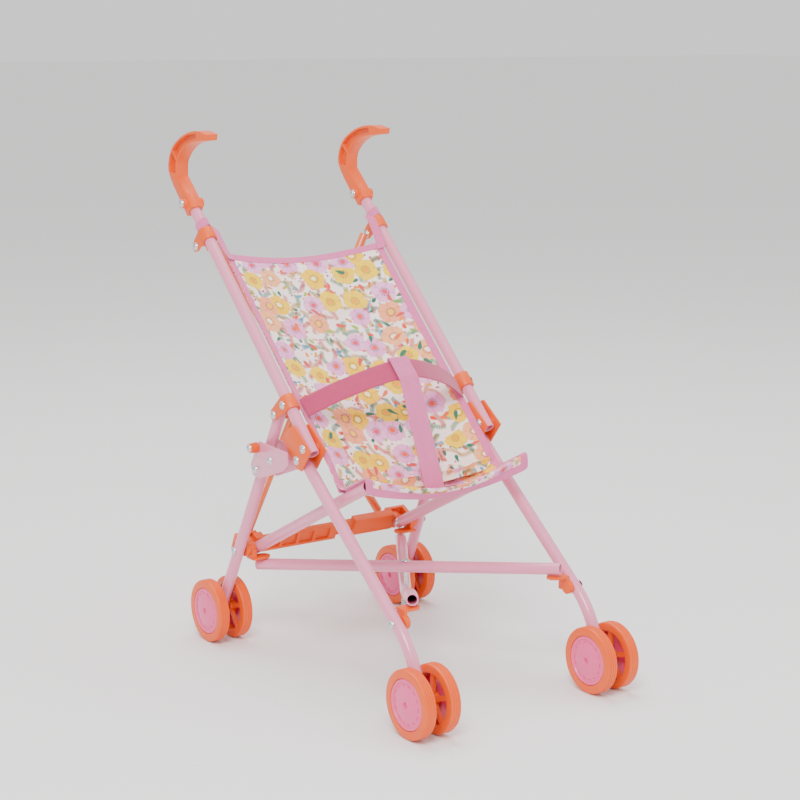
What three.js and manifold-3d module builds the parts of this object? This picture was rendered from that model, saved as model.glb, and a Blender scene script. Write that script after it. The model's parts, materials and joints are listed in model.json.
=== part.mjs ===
// A folding doll stroller: steel tubes, moulded joints, eight wheels and a cloth sling seat.
// Units are millimetres. +Z is up, the stroller faces -Y, and the floor is z = 0.
// The model is built about the middle of the wheelbase, then moved so that the origin is
// below the middle of the whole object.
import * as THREE from "three";
import { mergeVertices } from "three/addons/utils/BufferGeometryUtils.js";
import Module from "manifold-3d";

const wasm = await Module();
wasm.setup();

// ---- driving dimensions ------------------------------------------------------------
const SLIDE_GAP = 0.3; // between pieces that touch or move on each other
const TUBE_R = 6.35;
const TUBE_WALL = 1.4;
const TUBE_END = 7; // tube left past a rivet

const WHEELBASE = 374.6;
const HALF_TRACK = 114; // handle tubes and front legs
const REAR_SPLAY = 12; // rear axles stand this much further out
const WHEEL_R = 35;
const TYRE_W = 12.6;
const WHEEL_PITCH = 29.4; // between the two wheels of a pair
const RIM_R = 26;
const HUB_R = 6.5;
const AXLE_R = 2.5;
const SPOKES = 5;
const SPOKE_T = 3.2;

const HANDLE_ANGLE = THREE.MathUtils.degToRad(43.83);
const HANDLE_FOOT = [8.4, 244]; // y, z of the handle tube's lower end
const HANDLE_NECK = 335.7; // along the tube, to the rim of the grip
const GRIP_SOCKET = 28;
const GRIP_W = 15;
const COLLAR_AT = 65;
const COLLAR_L = 17.4;
const COLLAR_WALL = 2.4;
const LEG_DROP = 22.6; // rear leg pivot below the handle tube's axis
const BRACE_MOUNT_AT = 299;
const BRACE_MOUNT_L = 15;
const BRACE_DROP = 15;
const HINGE_AT = 8; // the seat bracket's pivot, along the handle tube

// y, z of the rivet that fixes the front leg in the seat bracket
const LEG_TOP = [HANDLE_FOOT[0] + 18.6, HANDLE_FOOT[1] - 9];
const FRONT_LEG_ANGLE = THREE.MathUtils.degToRad(218.4);
const ANKLE_Z = 86; // height at which the front leg bends down
const LEG_STEPS = 34;
const RAIL_PIVOT = 59.5; // along the front leg from its top rivet
const RAIL_END_Z = 109.5; // height of the side rail's pivot on the rear leg
const RAIL_END_BACK = 0.89; // that pivot behind the rear leg's axis
const RAIL_X = HALF_TRACK - 2 * TUBE_R - 4.3;
const RAIL_NOSE = 53; // side rail past the front leg, carrying the seat's front edge

const LINK_GAP = TUBE_R + SLIDE_GAP; // lock link's plates, inside the seat bracket's
const LINK_T = 1.2;
const BRACKET_GAP = LINK_GAP + LINK_T + 0.35; // seat bracket's plates from the tube plane
const BRACKET_T = 1.8;
const LINK_PIVOT = 71; // along the rear leg from its top pivot

const BRACE_TUBE_GAP = 1.6; // room for the slope of the tube under its bracket
const REAR_BOLT_INSET = [20.4, 4.3]; // inside the track, and in front of the rail's pivot
const REAR_BOLT_Z = 90; // lower brace tubes on the rear brackets
const FRONT_BOLT_INSET = [23, 6.57]; // inside the track, and behind the rivet
const FRONT_BOLT_Z = 121.6;
const FRONT_RIVET_Z = 101; // front brace bracket's rivet on the front leg
const PLATE_T = 2.5;
const CROSSING_SAG = 27; // the right brace tube passes below the left one

const CROSSBAR_BACK = 17.5; // where the halves meet face to face, behind the rail's pivot
const CROSSBAR_HINGE = [HALF_TRACK - 15, 108]; // x, z
const CROSSBAR_BOLT = [-4, 104.5]; // x, z of the bolt where the halves cross
const CROSSBAR_HALF_T = 5.6;
const CROSSBAR_LOW = 99; // z of its edges
const CROSSBAR_HIGH = 120;
const CROSSBAR_END_R = 9;
const CROSSBAR_LAP = 19; // half past the bolt
const CROSSBAR_STEP = 4;
const CROSSBAR_STEP_AT = 39;
const POCKETS = 4; // moulded into the left half
const POCKET_PITCH = 22;
const SHELF_T = 3.5; // right half: full thickness outside this
const BACK_TUBE_R = 5;
const BACK_LOW_INSET = 19; // low ends of the back braces, inside the track
const BACK_LOW_BACK = 38.3; // and behind the rail's pivot
const BACK_LOW_Z = 113;
const BACK_CROSS_GAP = 1.8;
const BACK_TOP_INSET = 18; // inside the handle tube

const CLOTH_T = 1.6;
const CLOTH_HALF = HALF_TRACK - TUBE_R - 4.35;
const CLOTH_TOP_AT = 272; // along the handle tube
const CLOTH_LIFT = TUBE_R + CLOTH_T / 2 + 0.85; // base cloth over the side rails
const HEM = 17;
const STRAP_W = 24;
const STRAP_T = 1.6;
const STRAP_AT = 56; // along the handle tube
const STRAP_RISE = 54; // the bow's middle above the seat back
const STRAP_LIFT = 2;

// ---- colours -----------------------------------------------------------------------
const paint = new THREE.MeshStandardMaterial({ color: 0xf2bfd0, roughness: 0.3, metalness: 0.1 });
const orange = new THREE.MeshStandardMaterial({ color: 0xf5682a, roughness: 0.45, metalness: 0 });
const pink = new THREE.MeshStandardMaterial({ color: 0xf79dbb, roughness: 0.3, metalness: 0 });
const coral = new THREE.MeshStandardMaterial({ color: 0xef9a6a, roughness: 0.4, metalness: 0 });
const steel = new THREE.MeshStandardMaterial({ color: 0xc9ccd0, roughness: 0.25, metalness: 1 });
const cloth = new THREE.MeshStandardMaterial({ color: 0xfbe3e0, roughness: 0.9, metalness: 0 });
const webbing = new THREE.MeshStandardMaterial({ color: 0xe58bab, roughness: 0.85, metalness: 0 });

// ---- solids ------------------------------------------------------------------------
const ROUND = 7; // curve segments of a half circle
const BORE_ROUND = 5;

function toSolid(geometry) {
  const bare = geometry.clone();
  bare.deleteAttribute("normal");
  bare.deleteAttribute("uv");
  const merged = mergeVertices(bare, 1e-4);
  return new wasm.Manifold(new wasm.Mesh({
    numProp: 3,
    vertProperties: new Float32Array(merged.attributes.position.array),
    triVerts: new Uint32Array(merged.index.array),
  }));
}

function toGeometry(solid) {
  const mesh = solid.getMesh();
  const geometry = new THREE.BufferGeometry();
  geometry.setAttribute("position", new THREE.BufferAttribute(mesh.vertProperties, 3));
  geometry.setIndex(new THREE.BufferAttribute(mesh.triVerts, 1));
  geometry.computeVertexNormals();
  return geometry;
}

function join(...pieces) {
  return toGeometry(pieces.map(toSolid).reduce((a, b) => a.add(b)));
}

function cut(piece, ...tools) {
  return toGeometry(tools.map(toSolid).reduce((a, b) => a.subtract(b), toSolid(piece)));
}

function circle(radius, bore = 0) {
  const shape = new THREE.Shape().absarc(0, 0, radius, 0, Math.PI * 2, false);
  if (bore > 0) shape.holes.push(new THREE.Path().absarc(0, 0, bore, 0, Math.PI * 2, true));
  return shape;
}

// A straight rod or tube from one point to another.
function rod(from, to, radius, bore = 0) {
  const a = new THREE.Vector3(...from);
  const axis = new THREE.Vector3(...to).sub(a);
  const curveSegments = bore > 0 ? ROUND : ROUND + 1;
  const geometry = new THREE.ExtrudeGeometry(circle(radius, bore), {
    depth: axis.length(), bevelEnabled: false, curveSegments,
  });
  const turn = new THREE.Quaternion().setFromUnitVectors(new THREE.Vector3(0, 0, 1), axis.normalize());
  return geometry.applyQuaternion(turn).translate(...from);
}

// A tube whose axis follows a path.
function bentTube(path, radius, bore, steps) {
  return new THREE.ExtrudeGeometry(circle(radius, bore), {
    extrudePath: path, steps, bevelEnabled: false, curveSegments: ROUND,
  });
}

// A side-view outline in (y, z), made solid between two x planes.
function sidePlate(outline, x0, x1, curveSegments = 6) {
  const shape = outline instanceof THREE.Shape
    ? outline
    : new THREE.Shape(outline.map(([y, z]) => new THREE.Vector2(y, z)));
  const low = Math.min(x0, x1);
  const geometry = new THREE.ExtrudeGeometry(shape, {
    depth: Math.abs(x1 - x0), bevelEnabled: false, curveSegments,
  });
  const basis = new THREE.Matrix4().makeBasis(
    new THREE.Vector3(0, 1, 0), new THREE.Vector3(0, 0, 1), new THREE.Vector3(1, 0, 0));
  return geometry.applyMatrix4(basis).translate(low, 0, 0);
}

function block(x0, x1, y0, y1, z0, z1) {
  const geometry = new THREE.BoxGeometry(Math.abs(x1 - x0), Math.abs(y1 - y0), Math.abs(z1 - z0));
  return geometry.translate((x0 + x1) / 2, (y0 + y1) / 2, (z0 + z1) / 2);
}

// A line whose middle hangs below its ends, and whose ends stay straight.
class SaggingLine extends THREE.Curve {
  constructor(start, end, sag) {
    super();
    Object.assign(this, { start, end, sag });
  }

  getPoint(t, target = new THREE.Vector3()) {
    target.lerpVectors(this.start, this.end, t);
    target.z -= this.sag * Math.sin(Math.PI * t) ** 2;
    return target;
  }
}

// A band of even thickness along a bent line in (y, z).
function bandOutline(points, thickness) {
  const line = points.map(([y, z]) => new THREE.Vector2(y, z));
  const offset = (side) => line.map((p, i) => {
    const before = line[Math.max(i - 1, 0)];
    const after = line[Math.min(i + 1, line.length - 1)];
    const run = after.clone().sub(before).normalize();
    return new THREE.Vector2(-run.y, run.x).multiplyScalar((side * thickness) / 2).add(p);
  });
  return new THREE.Shape([...offset(1), ...offset(-1).reverse()]);
}

// ---- shared points -----------------------------------------------------------------
const AXLE_Y = WHEELBASE / 2;
const ALONG = [Math.cos(HANDLE_ANGLE), Math.sin(HANDLE_ANGLE)];

// A point beside the handle tube: distance along it, and distance above its axis.
function onHandle(along, above = 0) {
  return [
    HANDLE_FOOT[0] + along * ALONG[0] - above * ALONG[1],
    HANDLE_FOOT[1] + along * ALONG[1] + above * ALONG[0],
  ];
}

const LEG_PIVOT = onHandle(COLLAR_AT + 3.9, -LEG_DROP);
const BRACE_TOP = onHandle(BRACE_MOUNT_AT, -BRACE_DROP);

// The rear leg leans out as well as back, so its x changes with its height.
const legRun = [AXLE_Y - LEG_PIVOT[0], WHEEL_R - LEG_PIVOT[1]];
const legLength = Math.hypot(...legRun);
const LEG_LEAN = Math.atan2(legRun[0], -legRun[1]);
function onRearLeg(side, along) {
  const t = along / legLength;
  return [side * (HALF_TRACK + REAR_SPLAY * t), LEG_PIVOT[0] + legRun[0] * t, LEG_PIVOT[1] + legRun[1] * t];
}
const LINK_AT = onRearLeg(1, LINK_PIVOT);
const RAIL_END_ON_LEG = (LEG_PIVOT[1] - RAIL_END_Z) / -legRun[1] * legLength;
const RAIL_END = [onRearLeg(1, RAIL_END_ON_LEG)[1] + RAIL_END_BACK, RAIL_END_Z]; // y, z
const REAR_BOLT = [HALF_TRACK - REAR_BOLT_INSET[0], RAIL_END[0] - REAR_BOLT_INSET[1], REAR_BOLT_Z];
const BACK_LOW = [HALF_TRACK - BACK_LOW_INSET, RAIL_END[0] + BACK_LOW_BACK, BACK_LOW_Z];
const CROSSBAR_Y = RAIL_END[0] + CROSSBAR_BACK;

const LEG_DIR = [Math.cos(FRONT_LEG_ANGLE), Math.sin(FRONT_LEG_ANGLE)];
const onFrontLeg = (along) => [LEG_TOP[0] + along * LEG_DIR[0], LEG_TOP[1] + along * LEG_DIR[1]];
const RAIL_FRONT = onFrontLeg(RAIL_PIVOT);
const FRONT_RIVET = onFrontLeg((FRONT_RIVET_Z - LEG_TOP[1]) / LEG_DIR[1]);
const FRONT_BOLT = [HALF_TRACK - FRONT_BOLT_INSET[0], FRONT_RIVET[0] + FRONT_BOLT_INSET[1], FRONT_BOLT_Z];

const railRun = [RAIL_FRONT[0] - RAIL_END[0], RAIL_FRONT[1] - RAIL_END[1]];
const railLength = Math.hypot(...railRun);
const RAIL_DIR = railRun.map((v) => v / railLength);
const onRail = (past, above = 0) => [
  RAIL_FRONT[0] + past * RAIL_DIR[0] + above * RAIL_DIR[1],
  RAIL_FRONT[1] + past * RAIL_DIR[1] - above * RAIL_DIR[0],
];

// ---- handle side: grip, tube, collar, brackets ---------------------------------------
function gripOutline() {
  const at = (along, above) => new THREE.Vector2(...onHandle(HANDLE_NECK + along, above));
  const shape = new THREE.Shape();
  shape.moveTo(...at(0, -7.6).toArray());
  shape.lineTo(...at(44, -6.4).toArray());
  shape.splineThru([at(66, -1), at(75, 20), at(71, 41), at(62, 60), at(48, 78), at(31, 90)]);
  shape.lineTo(...at(28, 84).toArray());
  shape.splineThru([at(38, 72), at(48, 59), at(55, 44), at(57.5, 30), at(56, 18), at(47, 7)]);
  shape.lineTo(...at(0, 7.6).toArray());
  return shape;
}

function handleGrip(side) {
  const x = side * HALF_TRACK;
  const hook = sidePlate(gripOutline(), x - GRIP_W / 2, x + GRIP_W / 2, 4);
  const rim = [x, ...onHandle(HANDLE_NECK)];
  const sleeve = rod(rim, [x, ...onHandle(HANDLE_NECK + 20)], TUBE_R + 2.2);
  const boss = onHandle(HANDLE_NECK + 12);
  const bosses = rod([x - 13, ...boss], [x + 13, ...boss], 5.5);
  const socket = rod([x, ...onHandle(HANDLE_NECK - 1)],
    [x, ...onHandle(HANDLE_NECK + GRIP_SOCKET + SLIDE_GAP)], TUBE_R + SLIDE_GAP);
  return cut(join(hook, sleeve, bosses), socket);
}

const handleTube = (side) => rod([side * HALF_TRACK, ...onHandle(0)],
  [side * HALF_TRACK, ...onHandle(HANDLE_NECK + GRIP_SOCKET)], TUBE_R, TUBE_R - TUBE_WALL);

// A moulded clamp round the handle tube with two ears that reach down to a pivot.
function tubeClamp(side, at, length, drop, shift) {
  const x = side * HALF_TRACK;
  const inner = TUBE_R + SLIDE_GAP;
  const outer = inner + COLLAR_WALL;
  const band = rod([x, ...onHandle(at - length / 2)], [x, ...onHandle(at + length / 2)], outer);
  const corners = [[-length / 2, 0], [length / 2, 0], [shift + 6.5, -drop], [shift + 3, -drop - 6],
    [shift - 3, -drop - 6], [shift - 6.5, -drop]];
  const ears = sidePlate(corners.map(([a, b]) => onHandle(at + a, b)), x - outer, x + outer);
  const slotTop = onHandle(at + length, -inner - 2.5);
  const slotLow = onHandle(at - length, -inner - 2.5);
  const slotEnd = onHandle(at - length, -drop - 12);
  const slotFar = onHandle(at + length, -drop - 12);
  const slot = sidePlate([slotTop, slotLow, slotEnd, slotFar], x - inner - 0.2, x + inner + 0.2);
  const bore = rod([x, ...onHandle(at - length)], [x, ...onHandle(at + length)], inner);
  return cut(join(band, ears), bore, slot);
}

const legCollar = (side) => tubeClamp(side, COLLAR_AT, COLLAR_L, LEG_DROP, 3.9);
const braceMount = (side) => tubeClamp(side, BRACE_MOUNT_AT, BRACE_MOUNT_L, BRACE_DROP + 2, 0);

function seatBracket(side) {
  const x = side * HALF_TRACK;
  const fromFoot = ([y, z]) => [HANDLE_FOOT[0] + y, HANDLE_FOOT[1] + z];
  const outline = [[-9.6, 5], [8.6, -18.5], [17.6, -17.5], [45.7, 9.4], [35.1, 22.5], [21.6, 27.5]]
    .map(fromFoot);
  const plates = [-1, 1].map((s) => sidePlate(outline,
    x + s * BRACKET_GAP, x + s * (BRACKET_GAP + BRACKET_T)));
  const tie = sidePlate([[37.1, 22.5], [35.5, 21.1], [44.1, 9.2], [46, 9.6]].map(fromFoot),
    x - BRACKET_GAP - 1, x + BRACKET_GAP + 1);
  const bosses = [onHandle(HINGE_AT), LEG_TOP].flatMap((p) => [-1, 1].map((s) => rod(
    [x + s * (TUBE_R + SLIDE_GAP), ...p], [x + s * (BRACKET_GAP + 1), ...p], 4)));
  return join(...plates, tie, ...bosses);
}

// ---- legs and side rails -------------------------------------------------------------
function axleBore(side, track, y) {
  const reach = TUBE_R + 6;
  return rod([side * track - reach, y, WHEEL_R], [side * track + reach, y, WHEEL_R], AXLE_R + SLIDE_GAP);
}

function frontLeg(side) {
  const x = side * HALF_TRACK;
  const point = ([y, z]) => new THREE.Vector3(x, y, z);
  const along = (z) => (z - LEG_TOP[1]) / LEG_DIR[1];
  const top = point(onFrontLeg(-TUBE_END));
  const bendStart = point(onFrontLeg(along(ANKLE_Z + 13)));
  const ankle = point(onFrontLeg(along(ANKLE_Z)));
  const axle = new THREE.Vector3(x, -AXLE_Y, WHEEL_R);
  const down = axle.clone().sub(ankle).normalize();
  const bendEnd = ankle.clone().addScaledVector(down, 20);
  const foot = axle.clone().addScaledVector(down, TUBE_END);
  const path = new THREE.CurvePath();
  path.add(new THREE.LineCurve3(top, bendStart));
  path.add(new THREE.QuadraticBezierCurve3(bendStart, ankle, bendEnd));
  path.add(new THREE.LineCurve3(bendEnd, foot));
  return cut(bentTube(path, TUBE_R, 0, LEG_STEPS), axleBore(side, HALF_TRACK, -AXLE_Y));
}

function rearLeg(side) {
  const tube = rod(onRearLeg(side, -TUBE_END), onRearLeg(side, legLength + TUBE_END), TUBE_R);
  return cut(tube, axleBore(side, HALF_TRACK + REAR_SPLAY, AXLE_Y));
}

function sideRail(side) {
  const x = side * RAIL_X;
  return rod([x, ...onRail(-railLength - TUBE_END)], [x, ...onRail(RAIL_NOSE)], TUBE_R, TUBE_R - TUBE_WALL);
}

// ---- lock link: two plates on the rear leg that catch the seat bracket -----------------
const LINK_CORNERS = [[-66, 31], [-9, 33], [-3, 27], [9, 4], [5, -7], [-10, -8], [-57, 9], [-68, 18]];
function lockLink(side) {
  const x = side * LINK_AT[0];
  const reach = REAR_SPLAY * (LINK_PIVOT / legLength) + LINK_GAP;
  const at = LINK_CORNERS.map(([y, z]) => [LINK_AT[1] + y, LINK_AT[2] + z]);
  const near = sidePlate(at, side * (HALF_TRACK - LINK_GAP), side * (HALF_TRACK - LINK_GAP - LINK_T));
  const far = sidePlate(at, x + side * reach, x + side * (reach + LINK_T));
  return { near, far };
}

// ---- brackets and tubes of the braces ---------------------------------------------------
const REAR_LEG_X = Math.abs(onRearLeg(1, RAIL_END_ON_LEG)[0]);
const LEAF = [RAIL_X + TUBE_R + SLIDE_GAP + 0.4, RAIL_X + TUBE_R + SLIDE_GAP + 6.2];

function rearBraceBracket(side) {
  const [boltX, boltY, tubeZ] = REAR_BOLT;
  const under = tubeZ + TUBE_R + BRACE_TUBE_GAP;
  const [y, z] = RAIL_END;
  const boss = rod([side * LEAF[0], y, z], [side * LEAF[1], y, z], 7.5);
  const leaf = block(side * (LEAF[0] + 0.2), side * (LEAF[1] - 0.2), y - 9, y + 5, under, z);
  const plate = block(side * boltX, side * LEAF[1], boltY - 8, boltY + 8, under, under + PLATE_T);
  const nose = rod([side * boltX, boltY, under], [side * boltX, boltY, under + PLATE_T], 8);
  return join(boss, leaf, plate, nose);
}

function frontBraceBracket(side) {
  const [boltX, boltY, tubeZ] = FRONT_BOLT;
  const top = tubeZ - TUBE_R - BRACE_TUBE_GAP;
  const outer = HALF_TRACK - TUBE_R - SLIDE_GAP;
  const [y, z] = FRONT_RIVET;
  const boss = rod([side * (outer - 5.5), y, z], [side * outer, y, z], 7);
  const leaf = block(side * (outer - 5.3), side * (outer - 2.2), boltY - 8, boltY + 6, z - 4, top);
  const plate = block(side * boltX, side * (outer - 2.2), boltY - 8, boltY + 8, top - PLATE_T, top);
  const nose = rod([side * boltX, boltY, top - PLATE_T], [side * boltX, boltY, top], 8);
  return join(boss, leaf, plate, nose);
}

// The left tube is straight. The right one sags so that it passes below the left one.
function lowerBrace(side) {
  const rear = new THREE.Vector3(side * REAR_BOLT[0], REAR_BOLT[1], REAR_BOLT[2]);
  const front = new THREE.Vector3(-side * FRONT_BOLT[0], FRONT_BOLT[1], FRONT_BOLT[2]);
  const run = front.clone().sub(rear).normalize();
  const a = rear.clone().addScaledVector(run, -TUBE_END);
  const b = front.clone().addScaledVector(run, TUBE_END);
  if (side < 0) return rod(a.toArray(), b.toArray(), TUBE_R, TUBE_R - TUBE_WALL);
  return bentTube(new SaggingLine(a, b, CROSSING_SAG), TUBE_R, TUBE_R - TUBE_WALL, 16);
}

// The crossbar leans with the rear legs. Its pieces are drawn upright about the hinge line, with
// y as the distance behind the bar's middle plane, and then tilted into place.
function leanWithLegs(geometry) {
  return geometry.rotateX(LEG_LEAN).translate(0, CROSSBAR_Y, CROSSBAR_HINGE[1]);
}

// The fixed arm on each rear leg that carries the crossbar's and the back brace's ends.
function rearJoint(side) {
  const [y, z] = RAIL_END;
  const outer = REAR_LEG_X - TUBE_R - 0.5;
  const inner = LEAF[1] + SLIDE_GAP;
  const back = CROSSBAR_HALF_T + SLIDE_GAP;
  const disc = rod([side * inner, y, z], [side * outer, y, z], 8);
  const armX = [side * (inner + 0.2), side * (outer - 0.2)];
  const arm = leanWithLegs(block(...armX, -14, back + SHELF_T, 2.5, 12));
  const shelf = leanWithLegs(block(side * (BACK_LOW[0] - 7), side * (outer - 0.3), back, back + SHELF_T, -8, 12));
  return join(disc, arm, shelf);
}

// ---- crossbar and back brace --------------------------------------------------------------
function crossbarHalf(side) {
  const [hingeX, hingeZ] = CROSSBAR_HINGE;
  const gap = SLIDE_GAP / 2;
  const [front, back] = side < 0 ? [-CROSSBAR_HALF_T, -gap] : [gap, CROSSBAR_HALF_T];
  const low = CROSSBAR_LOW - hingeZ;
  const high = CROSSBAR_HIGH - hingeZ;
  const tip = CROSSBAR_BOLT[0] - side * CROSSBAR_LAP;
  const doubledTo = side < 0 ? -hingeX + 16 : CROSSBAR_STEP_AT;
  const root = side * (hingeX - 5);
  const strip = block(root, tip, front, back, low, high - (side < 0 ? 0 : CROSSBAR_STEP));
  const doubled = block(root, doubledTo, -CROSSBAR_HALF_T, CROSSBAR_HALF_T, low, high);
  const end = rod([side * hingeX, -CROSSBAR_HALF_T, 0], [side * hingeX, CROSSBAR_HALF_T, 0], CROSSBAR_END_R);
  const bar = join(end, strip, doubled);
  if (side > 0) return leanWithLegs(bar);
  const pockets = Array.from({ length: POCKETS }, (_, i) => {
    const x = -hingeX + 20 + i * POCKET_PITCH;
    return block(x, x + POCKET_PITCH - 4, front - 1, back - 2, low + 3, high - 3);
  });
  return leanWithLegs(cut(bar, ...pockets));
}

function backBrace(side) {
  const y = side * -(BACK_TUBE_R + BACK_CROSS_GAP);
  const top = [side * (HALF_TRACK - BACK_TOP_INSET), BRACE_TOP[0] + y, BRACE_TOP[1]];
  const low = [-side * BACK_LOW[0], BACK_LOW[1] + y, BACK_LOW[2]];
  return rod(top, low, BACK_TUBE_R);
}

// ---- wheels ---------------------------------------------------------------------------------
// A ring or disc turned about X from a profile of (radius, x) points.
function turned(profile, segments, x, y, z) {
  const points = profile.map(([r, h]) => new THREE.Vector2(r, h));
  return new THREE.LatheGeometry(points, segments).rotateZ(-Math.PI / 2).translate(x, y, z);
}

function wheel(x, y, outward) {
  const half = TYRE_W / 2;
  const rim = turned([[RIM_R, -half], [WHEEL_R - 1.5, -half], [WHEEL_R, -half + 2], [WHEEL_R, half - 2],
    [WHEEL_R - 1.5, half], [RIM_R, half], [RIM_R, -half]], 32, x, y, WHEEL_R);
  const hub = rod([x - outward * half, y, WHEEL_R], [x + outward * 1.5, y, WHEEL_R], HUB_R);
  const spokes = Array.from({ length: SPOKES }, (_, i) => {
    const spoke = new THREE.BoxGeometry(5, SPOKE_T, RIM_R - 2);
    spoke.translate(x - outward * (half - 3), 0, RIM_R / 2 + 1.8);
    return spoke.rotateX((i / SPOKES) * Math.PI * 2).translate(0, y, WHEEL_R);
  });
  const bore = rod([x - 9, y, WHEEL_R], [x + 9, y, WHEEL_R], AXLE_R + SLIDE_GAP);
  return cut(join(rim, hub, ...spokes), bore);
}

function wheelCap(x, y, outward) {
  const profile = [[0, 2.2], [RIM_R - 0.4, 2.2], [RIM_R - 0.4, 5.4], [RIM_R - 2, 6.1], [19, 5],
    [8, 6.2], [0, 7.2]].map(([r, h]) => [r, h * outward]);
  if (outward < 0) profile.reverse();
  return turned(profile, 28, x, y, WHEEL_R);
}

function axle(x, y) {
  const reach = WHEEL_PITCH / 2 + 1.9;
  return rod([x - reach, y, WHEEL_R], [x + reach, y, WHEEL_R], AXLE_R);
}

// ---- soft pieces ------------------------------------------------------------------------------
function seatCloth() {
  const rim = onRail(RAIL_NOSE + 11, CLOTH_LIFT);
  const sling = bandOutline([onHandle(CLOTH_TOP_AT), onHandle(-28), onRail(8, CLOTH_LIFT), rim], CLOTH_T);
  const hem = bandOutline([rim, [rim[0], rim[1] - HEM]], CLOTH_T);
  return join(sidePlate(sling, -CLOTH_HALF, CLOTH_HALF), sidePlate(hem, -CLOTH_HALF, CLOTH_HALF));
}

// The waist strap is a bow of webbing: its height above the seat back over the width.
function waistStrap() {
  const end = CLOTH_HALF - 2;
  const bow = (extra) => new THREE.Vector2(0, STRAP_RISE + extra);
  const shape = new THREE.Shape();
  shape.moveTo(-end, STRAP_LIFT);
  shape.splineThru([new THREE.Vector2(-end / 2, STRAP_RISE * 0.72), bow(0),
    new THREE.Vector2(end / 2, STRAP_RISE * 0.72), new THREE.Vector2(end, STRAP_LIFT)]);
  shape.lineTo(end, STRAP_LIFT + STRAP_T);
  shape.splineThru([new THREE.Vector2(end / 2, STRAP_RISE * 0.72 + STRAP_T), bow(STRAP_T),
    new THREE.Vector2(-end / 2, STRAP_RISE * 0.72 + STRAP_T), new THREE.Vector2(-end, STRAP_LIFT + STRAP_T)]);
  const geometry = new THREE.ExtrudeGeometry(shape, {
    depth: STRAP_W, bevelEnabled: false, curveSegments: 5,
  });
  const [y, z] = onHandle(STRAP_AT + STRAP_W / 2);
  const basis = new THREE.Matrix4().makeBasis(new THREE.Vector3(1, 0, 0),
    new THREE.Vector3(0, -ALONG[1], ALONG[0]), new THREE.Vector3(0, -ALONG[0], -ALONG[1]));
  return geometry.applyMatrix4(basis).translate(0, y, z);
}

// The crotch strap runs from under the waist strap down to the front of the seat.
function crotchStrap() {
  const top = onHandle(STRAP_AT, STRAP_RISE - SLIDE_GAP - STRAP_T);
  const foot = onRail(RAIL_NOSE + 4, CLOTH_LIFT + CLOTH_T + SLIDE_GAP);
  const middle = [(top[0] + foot[0]) / 2 - 4, (top[1] + foot[1]) / 2 - 2];
  return sidePlate(bandOutline([top, middle, foot], STRAP_T), -STRAP_W / 2, STRAP_W / 2);
}

// ---- assembly -----------------------------------------------------------------------------------
const model = new THREE.Group();
function place(name, geometry, material) {
  const mesh = new THREE.Mesh(geometry, material);
  mesh.name = name;
  model.add(mesh);
}

for (const side of [-1, 1]) {
  const hand = side < 0 ? "left" : "right";
  place(`${hand}_handle_grip`, handleGrip(side), orange);
  place(`${hand}_handle_tube`, handleTube(side), paint);
  place(`${hand}_leg_collar`, legCollar(side), orange);
  place(`${hand}_brace_mount`, braceMount(side), orange);
  place(`${hand}_seat_bracket`, seatBracket(side), orange);
  place(`${hand}_front_leg`, frontLeg(side), paint);
  place(`${hand}_rear_leg`, rearLeg(side), paint);
  place(`${hand}_side_rail`, sideRail(side), paint);
  const link = lockLink(side);
  place(`${hand}_lock_link_inner`, link.near, paint);
  place(`${hand}_lock_link_outer`, link.far, paint);
  place(`${hand}_rear_brace_bracket`, rearBraceBracket(side), orange);
  place(`${hand}_front_brace_bracket`, frontBraceBracket(side), orange);
  place(`${hand}_lower_brace`, lowerBrace(side), paint);
  place(`${hand}_rear_joint`, rearJoint(side), orange);
  place(`${hand}_crossbar_half`, crossbarHalf(side), orange);
  place(`${hand}_back_brace`, backBrace(side), coral);
  for (const [end, y, track] of [["front", -AXLE_Y, HALF_TRACK], ["rear", AXLE_Y, HALF_TRACK + REAR_SPLAY]]) {
    const middle = side * track;
    place(`${end}_${hand}_axle`, axle(middle, y), steel);
    for (const outward of [-1, 1]) {
      const which = outward === side ? "outer" : "inner";
      const x = middle + outward * (WHEEL_PITCH / 2);
      place(`${end}_${hand}_${which}_wheel`, wheel(x, y, outward), orange);
      place(`${end}_${hand}_${which}_cap`, wheelCap(x, y, outward), pink);
    }
  }
}
place("seat_cloth", seatCloth(), cloth);
place("waist_strap", waistStrap(), webbing);
place("crotch_strap", crotchStrap(), webbing);

// Move the origin below the middle of the whole object.
const extent = new THREE.Box3().setFromObject(model);
model.position.y = -(extent.min.y + extent.max.y) / 2;

const stroller = new THREE.Group();
stroller.add(model);
export default stroller;
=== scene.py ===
import json
import math

import bpy
from mathutils import Matrix, Vector


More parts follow.
